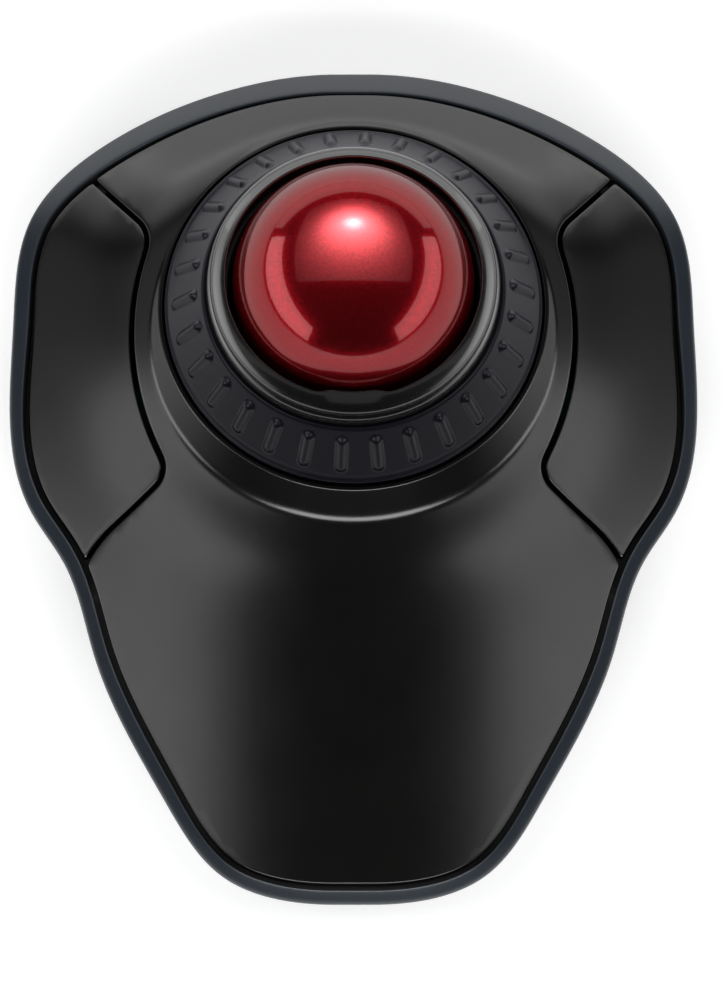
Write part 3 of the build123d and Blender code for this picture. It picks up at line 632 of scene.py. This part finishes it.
# rows of the tub, up the outside and down the inside: share of the height from base to
# widest line, inset in mm, inset in widths of the visible edge, rise in mm
FOOT_ROWS = [(0, 9.3, 0, 0.0), (0, 8.8, 0, 0.05), (0, 8.35, 0, 0.3)]
SIDE_ROWS = [(u, 8.0 * (1 - u) ** 1.5, 0, 0.25 * (1 - u)) for u in np.linspace(0.05, 0.95, 12)]
EDGE_ROWS = [(1, 0, share, rise) for share, rise in CHAMFER]
OUTER_ROWS = FOOT_ROWS + SIDE_ROWS + EDGE_ROWS
INNER_ROWS = [(1, 0, 1, 0.4), (1, 2.0, 1, 0.4), (0.75, 3.5, 0.3, 0), (0.4, 6.4, 0, 0),
              (0.125, 9.0, 0, 0)]
GROOVE_ROWS = (len(OUTER_ROWS), len(OUTER_ROWS) + 1)     # floor of the groove
GROOVE_H, POCKET_H = 1.0, 2.0        # its extra depth, and the pocket's for a pressed button
POCKET_X, POCKET_Y, POCKET_RUN = 30, (-22, 58), 3
FLOOR_Z = 3.0                        # inside floor of the tub
CASE_SHARP = 35


def case_tub():
    """The case without its openings; the groove and the inside get a darker material as painted
    shade in the recess.
    """
    loop, normal = outline_loop(160)
    count = len(loop)
    x, y = loop[:, 0], loop[:, 1]
    pocket = (ramp((y - POCKET_Y[0]) / POCKET_RUN) * ramp((POCKET_Y[1] - y) / POCKET_RUN)
              * (np.abs(x) > POCKET_X))
    rows = OUTER_ROWS + INNER_ROWS
    verts = []
    for k, (share, inset, bands, rise) in enumerate(rows):
        p = loop - normal * (inset + bands * band(y))[:, None]
        z = BASE_Z + share * (rim(p[:, 1]) - BASE_Z) + rise
        if k in GROOVE_ROWS:
            z = z - GROOVE_H - POCKET_H * pocket
        if k == len(rows) - 1:
            z = np.full(count, FLOOR_Z)
        verts.append(np.c_[p, z])
    faces = []
    for k in range(len(rows) - 1):
        for i in range(count):
            j = (i + 1) % count
            faces.append((k * count + i, k * count + j, (k + 1) * count + j, (k + 1) * count + i))
    faces.append(tuple(range(count)))
    faces.append(tuple(range(len(rows) * count - 1, (len(rows) - 1) * count - 1, -1)))
    tub = new_object("case_tub", np.concatenate(verts), faces, SLATE, CASE_SHARP)
    # second material: the darker plastic on the groove and inside is painted shade
    tub.data.materials.append(INNER_BLACK_AND_GROOVE_SHADE)
    first_dark = (len(OUTER_ROWS) - 1) * count
    for polygon in tub.data.polygons:
        if min(polygon.vertices) >= first_dark:
            polygon.material_index = 1
    return tub


def prism(bm, points, low, high):
    """Upright prism added to bm, from plan points in order."""
    bottom = [bm.verts.new((x * MM, y * MM, low * MM)) for x, y in points]
    top = [bm.verts.new((x * MM, y * MM, high * MM)) for x, y in points]
    bm.faces.new(bottom[::-1])
    bm.faces.new(top)
    for i in range(len(points)):
        j = (i + 1) % len(points)
        bm.faces.new((bottom[i], bottom[j], top[j], top[i]))


def round_rect(centre, size, radius):
    """Plan points of a rectangle with round corners."""
    points = []
    for k, (sx, sy) in enumerate(((1, 1), (-1, 1), (-1, -1), (1, -1))):
        c = (centre[0] + sx * (size[0] / 2 - radius), centre[1] + sy * (size[1] / 2 - radius))
        points += arc(c, radius, 90 * k, 90 * k + 90, 9)
    return points


def disc(centre, radius, steps=56):
    """Plan points of a circle."""
    return arc(centre, radius, 0, 360 - 360 / steps, steps)


def plan_box(node):
    """Plan centre and size of a CAD node."""
    low, high = box_mm(node)
    return ((low + high) / 2)[:2], (high - low)[:2]


def node_centres(node):
    """Centre and half size of each separate solid of a CAD node."""
    bm = bmesh.new()
    bm.from_mesh(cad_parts[node].data)
    bmesh.ops.remove_doubles(bm, verts=bm.verts, dist=1e-6)
    left, found = set(bm.verts), []
    while left:
        island, todo = set(), [next(iter(left))]
        while todo:
            v = todo.pop()
            if v not in island:
                island.add(v)
                todo += [e.other_vert(v) for e in v.link_edges]
        left -= island
        co = np.array([v.co for v in island]) / MM
        found.append(((co.min(0) + co.max(0)) / 2, (co.max(0) - co.min(0)) / 2))
    bm.free()
    return sorted(found, key=lambda item: tuple(np.round(item[0], 2)))


CUT_LOW, CUT_HIGH = -1, FLOOR_Z + 1      # a cutter for an opening goes right through
DOOR_PLAY = (-2.4, 0.9)                  # the door's lips lie inside the opening's sides
RECEIVER_PLAY = 0.2
FINGER_HOLE_R, SCREW_BORE_R, DPI_HOLE_R = 7.0, 2.7, 3.1
SLIDE_OPENING, SLIDE_CORNER = (8.4, 3.4), 0.4
FOOT_PLAY, FOOT_RECESS = 0.1, 0.4


def case_cutters():
    """All the openings and recesses of the underside as one mesh."""
    bm = bmesh.new()
    centre, size = plan_box("battery_door")
    prism(bm, round_rect(centre, size + DOOR_PLAY, 0.2), CUT_LOW, CUT_HIGH)
    prism(bm, disc((0, AXIS_Y), FINGER_HOLE_R), CUT_LOW, CUT_HIGH)
    centre, size = plan_box("usb_receiver")
    prism(bm, round_rect(centre, size + RECEIVER_PLAY, 1), CUT_LOW, CUT_HIGH)
    for centre, _ in node_centres("case_screws"):
        prism(bm, disc(centre, SCREW_BORE_R, 40), CUT_LOW, CUT_HIGH)
    for node in ("power_switch_body", "mode_switch_body"):
        opening = round_rect(plan_box(node)[0], SLIDE_OPENING, SLIDE_CORNER)
        prism(bm, opening, CUT_LOW, CUT_HIGH)
    prism(bm, disc(plan_box("dpi_button")[0], DPI_HOLE_R), CUT_LOW, CUT_HIGH)
    for centre, half in node_centres("rubber_feet"):
        if abs(half[0] - half[1]) < 0.5:
            recess = disc(centre, half[0] + FOOT_PLAY)
        else:
            recess = round_rect(centre[:2], half[:2] * 2 + 2 * FOOT_PLAY, half[1] + 0.09)
        prism(bm, recess, CUT_LOW, BASE_Z + FOOT_RECESS)
    bmesh.ops.recalc_face_normals(bm, faces=bm.faces)
    return in_scene("cutters", to_mesh(bm, "cutters"))


def cut_case(tub):
    """Cuts the openings of the underside."""
    cutters = case_cutters()
    cut = tub.modifiers.new("openings", "BOOLEAN")
    cut.operation, cut.solver, cut.object = "DIFFERENCE", "EXACT", cutters
    graph = bpy.context.evaluated_depsgraph_get()
    result = bpy.data.meshes.new_from_object(tub.evaluated_get(graph))
    tub.modifiers.clear()
    tub.data = result
    bpy.data.objects.remove(cutters)
    finish_mesh(tub.data, CASE_SHARP)


tub = case_tub()
cut_case(tub)
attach(tub, "case")
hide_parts("bottom_case")


# ---- scroll ring grip ----
RIBS = 30
RIB_R, RIB_H, RIB_RUN = 1.15, 0.72, 2.3      # half width, height, half length of the straight part
RIB_PLACE, RIB_ROUND = 0.53, 1.2             # middle as a share of the cone, how round the top is
RIB_PHASE = radians(2)
RIB_STEPS, SLEEVE_ROWS = 44, 44
CONE_TOP, CONE_LOW = (24.8, 37.7), (31.0, 30.15)     # (radius, height) of the grip's outside
SLEEVE_EDGE_R, SLEEVE_FOOT_R = 0.35, 0.27
SLEEVE_INSIDE = [(30.3, 28.2), (30.3, 30.2), (24.8, 36.9)]


def ring_sleeve():
    """Conical grip with raised, round-ended ribs; the ribs are in the mesh."""
    top, low = np.array(CONE_TOP), np.array(CONE_LOW)
    length = np.hypot(*(low - top))
    slope = (low - top) / length
    out = np.array([-slope[1], slope[0]])
    along = np.linspace(0, length, SLEEVE_ROWS)
    steps = RIBS * RIB_STEPS
    head = arc(top + slope * SLEEVE_EDGE_R - out * SLEEVE_EDGE_R, SLEEVE_EDGE_R, 140, 60, 4)
    foot = ([(31.06, 30.0), (31.12, 29.95)]
            + arc((RING_R - SLEEVE_FOOT_R, 29.62), SLEEVE_FOOT_R, 110, 0, 8)
            + [(RING_R, 28.2)])
    verts = []
    for i in range(steps):
        a = 2 * pi * i / steps
        turn = (a - RIB_PHASE + pi / RIBS) % (2 * pi / RIBS) - pi / RIBS
        cone = []
        for s in along[3:-2]:
            base = top + slope * s
            run = max(abs(s - length * RIB_PLACE) - RIB_RUN, 0)
            d = hypot(turn * base[0], run)
            lift = RIB_H * max(1 - (d / RIB_R) ** 2, 0) ** RIB_ROUND
            cone.append(base + out * lift)
        profile = head + cone + foot + SLEEVE_INSIDE
        verts += [(r * cos(a), AXIS_Y + r * sin(a), z) for r, z in profile]
    faces = turned_faces(steps, len(profile))
    return new_object("ring_sleeve", verts, faces, RING_SLATE, sharp=60)


sleeve = ring_sleeve()
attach(sleeve, "ring")
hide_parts("ring_grip")


# ---- glossy collar round the ball ----
SCALLOP_R, SCALLOP_PUSH = 21.0, 0.9
SCALLOP_HALF, SCALLOP_RUN = 6.4, 3.2         # half its width along the lip, and the easing
SCALLOP_LOW, SCALLOP_RISE = 39.9, 2.4        # it grows over this height
SCALLOP_OUT, SCALLOP_REACH = 23.1, 1.7       # and inward over this distance
COLLAR_PROFILE = (                           # (radius, height)
    [(21.2, 37.6), (21.1, 40.0), (20.95, 42.1)] + arc((21.2, 42.35), 0.25, 180, 68, 6)
    + [(21.8, 42.36), (22.4, 42.02), (22.9, 41.68), (23.3, 41.32), (23.52, 40.9), (23.6, 40.45),
       (23.48, 40.15), (23.48, 39.9), (23.85, 39.7), (24.08, 39.3), (24.18, 38.8), (24.2, 38.2),
       (24.3, 37.9), (24.3, 36.85), (23.05, 36.8), (23.05, 37.6)])


def collar_lip(a, r, z):
    """Shallow scallop in the lip at the front of the opening."""
    across = abs((a + pi / 2 + pi) % (2 * pi) - pi) * SCALLOP_R
    push = SCALLOP_PUSH * float(ramp((SCALLOP_HALF - across) / SCALLOP_RUN))
    near = (np.clip((z - SCALLOP_LOW) / SCALLOP_RISE, 0, 1)
            * np.clip((SCALLOP_OUT - r) / SCALLOP_REACH, 0, 1))
    return r - push * near, z


collar = turned("collar_bezel", COLLAR_PROFILE, COLLAR, steps=480, sharp=50, shift=collar_lip)
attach(collar, "case")
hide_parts("ball_collar")


# ---- ball ----
SPHERE_CUTS = 47                             # in each side of the cube it is made from


def round_ball():
    """Even quad sphere, finer than the CAD mesh, for clean reflections."""
    bm = bmesh.new()
    bmesh.ops.create_cube(bm, size=2.0)
    bmesh.ops.subdivide_edges(bm, edges=bm.edges, cuts=SPHERE_CUTS, use_grid_fill=True)
    for v in bm.verts:
        # equal-angle spacing keeps the quads even over the sphere
        p = Vector(tan(c * pi / 4) for c in v.co)
        v.co = (p.normalized() * BALL_R + Vector((0, AXIS_Y, BALL_Z))) * MM
    mesh = to_mesh(bm, "red_sphere")
    finish_mesh(mesh, sharp=60)
    mesh.materials.append(RED)
    return in_scene("red_sphere", mesh)


ball = round_ball()
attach(ball, "ball")
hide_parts("ball")


# ---- floor ----
FLOOR_HALF = 1.6                             # half the floor's side, in metres


def stage_floor():
    """Plain pale floor that glows faintly, so that it stays even."""
    bm = bmesh.new()
    bm.faces.new([bm.verts.new((x * FLOOR_HALF, y * FLOOR_HALF, 0))
                  for x, y in ((-1, -1), (1, -1), (1, 1), (-1, 1))])
    mesh = to_mesh(bm, "stage_floor")
    n = Nodes("pale_floor")
    n.tint(n.noise(8, 2, 0.5), grey(0.86), grey(0.88))
    n.set(Roughness=0.9, Specular_IOR_Level=0.1, Emission_Color=(1, 1, 1, 1),
          Emission_Strength=0.36)
    mesh.materials.append(n.material)
    return in_scene("stage_floor", mesh)


stage_floor()


# ---- light ----
def receivers(name, pieces, state):
    """Light group that holds only the pieces (INCLUDE), or everything else (EXCLUDE)."""
    group = bpy.data.collections.new(name)
    for piece in pieces:
        group.objects.link(piece)
    for member in group.collection_objects:
        member.light_linking.link_state = state
    return group


BODY_ONLY = receivers("body_light", [ball], "EXCLUDE")
BALL_ONLY = receivers("ball_light", [ball], "INCLUDE")
SATIN_ONLY = receivers("satin_light", [ball, collar], "EXCLUDE")
PALM_ONLY = receivers("palm_light", [palm_shell], "INCLUDE")
COLLAR_ONLY = receivers("collar_light", [collar], "INCLUDE")
SHELL_ONLY = receivers("shell_light", [ball, collar, sleeve], "EXCLUDE")


def soft_panel(name, group, size, radiance, middle, facing):
    """Rectangular area light of a given radiance at a place, facing a point."""
    data = bpy.data.lights.new(name, "AREA")
    data.shape = "RECTANGLE"
    data.size, data.size_y = size
    data.energy = radiance * pi * size[0] * size[1]
    obj = in_scene(name, data)
    obj.location = middle
    obj.rotation_euler = (Vector(facing) - Vector(middle)).to_track_quat("-Z", "Y").to_euler()
    obj.light_linking.receiver_collection = group
    return data


def ceiling(name, group, across, along, radiance, height=0.9):
    """Level panel overhead, between angles from the vertical towards +X and towards +Y."""
    (x0, x1), (y0, y1) = ([tan(radians(v)) * height for v in pair] for pair in (across, along))
    middle = Vector(((x0 + x1) / 2, (y0 + y1) / 2, height + 0.02))
    below = middle - Vector((0, 0, 1))
    return soft_panel(name, group, (x1 - x0, y1 - y0), radiance, middle, below)


def wall(name, group, bearing, width, rise, radiance, away=1.2):
    """Upright panel; bearing is in degrees from +Y towards +X, rise two angles above the floor."""
    low, high = (tan(radians(v)) * away for v in rise)
    out = Vector((sin(radians(bearing)), cos(radians(bearing)), 0)) * away
    middle = out + Vector((0, 0, (low + high) / 2))
    return soft_panel(name, group, (width, high - low), radiance, middle, (0, 0, middle.z))


def hot_spot(data, centre, stretch, glows):
    """Makes a panel's light uneven: glows[0] holds the even part, the others are
    (radiance, radius) round centre, in shares of the panel's sides times stretch."""
    data.use_nodes = True
    tree = data.node_tree
    tree.nodes.clear()

    def add(kind, operation=None, *values):
        node = tree.nodes.new(kind)
        if operation:
            node.operation = operation
        for socket, value in zip(node.inputs, values):
            if hasattr(value, "links"):
                tree.links.new(value, socket)
            else:
                socket.default_value = value
        return node.outputs

    place = add("ShaderNodeNewGeometry")["Parametric"]
    away = add("ShaderNodeVectorMath", "SUBTRACT", place, (*centre, 0))["Vector"]
    scaled = add("ShaderNodeVectorMath", "MULTIPLY", away, (*stretch, 0))["Vector"]
    square = add("ShaderNodeVectorMath", "DOT_PRODUCT", scaled, scaled)["Value"]
    total = glows[0][0]
    for radiance, radius in glows[1:]:
        power = add("ShaderNodeMath", "MULTIPLY", square, -1 / radius ** 2)["Value"]
        fall = add("ShaderNodeMath", "EXPONENT", power)["Value"]
        glow = add("ShaderNodeMath", "MULTIPLY", fall, radiance)["Value"]
        total = add("ShaderNodeMath", "ADD", glow, total)["Value"]
    emission = tree.nodes.new("ShaderNodeEmission")
    tree.links.new(total, emission.inputs["Strength"])
    out = tree.nodes.new("ShaderNodeOutputLight")
    tree.links.new(emission.outputs["Emission"], out.inputs["Surface"])


# body: two boxes over the sides with dimmer ends, two low ones for the palm's flanks, a glow
# behind, and a narrow bright strip in front for the line at the housing's foot
ceiling("left_box", SATIN_ONLY, (-56, -15), (-16, 2), 2.4)
ceiling("right_box", SATIN_ONLY, (16, 56), (-16, 2), 2.35)
ceiling("left_fill", SATIN_ONLY, (-50, -13), (2, 30), 0.4)
ceiling("right_fill", SATIN_ONLY, (19, 50), (2, 30), 0.35)
ceiling("left_low_box", PALM_ONLY, (-68, -54), (-46, 8), 5.0)
ceiling("right_low_box", PALM_ONLY, (54, 68), (-46, 8), 5.0)
back_box = ceiling("back_box", BODY_ONLY, (-46, 46), (38, 60), 1.0)
hot_spot(back_box, (0.5, 0.8), (0, 1), [(0.0,), (2.15, 0.89)])
ceiling("front_strip", SHELL_ONLY, (-34, 36), (-58, -40), 8.0)
wall("back_wall", BODY_ONLY, 0, 2.6, (4, 34), 1.8)

for side, bearing in (("left", -84), ("right", 84)):
    panel = wall(f"{side}_wall", PALM_ONLY, bearing, 2.6, (1, 20), 1.0)
    hot_spot(panel, (0.5, 0.5), (2, 0), [(0.05,), (1.3, 0.55)])
    panel = wall(f"collar_{side}", COLLAR_ONLY, bearing, 3.0, (2, 36), 1.0)
    hot_spot(panel, (0.5, 0.5), (2, 1), [(0.3,), (3.4, 0.62)])
ceiling("collar_front", COLLAR_ONLY, (-50, 50), (-24, -4), 0.3)

# ball: one glowing panel close above for the highlight, dimmer walls for the rim
panel = ceiling("ball_panel", BALL_ONLY, (-54, 54), (-14, 66), 1.0, 0.5)
hot_spot(panel, (0.5, 0.42), (2.75, 2.5), [(0.27,), (30, 0.14), (12, 0.45), (2.0, 0.9)])
wall("ball_left", BALL_ONLY, -100, 2.2, (4, 24), 2.8)
wall("ball_right", BALL_ONLY, 100, 2.2, (4, 24), 2.3)
wall("ball_back", BALL_ONLY, 0, 3.0, (1, 16), 1.2)

world = bpy.data.worlds.new("studio")
bpy.context.scene.world = world
world.use_nodes = True
background = world.node_tree.nodes["Background"]
background.inputs["Color"].default_value = (1, 1, 1, 1)
background.inputs["Strength"].default_value = 0.035


# ---- camera ----
CAMERA_TILT = radians(17.66)                 # from straight down
CAMERA_DISTANCE = 0.5
LOOK_AT = Vector((0, -0.00348, 0.020))
camera_data = bpy.data.cameras.new("camera")
camera_data.sensor_width = 36
camera_data.lens = 109.6
camera_data.shift_x = 0.0092
camera = in_scene("camera", camera_data)
camera.location = LOOK_AT + CAMERA_DISTANCE * Vector((0, -sin(CAMERA_TILT), cos(CAMERA_TILT)))
camera.rotation_euler = (CAMERA_TILT, 0, 0)
bpy.context.scene.camera = camera
bpy.context.scene.view_settings.view_transform = "Standard"

bpy.context.view_layer.update()
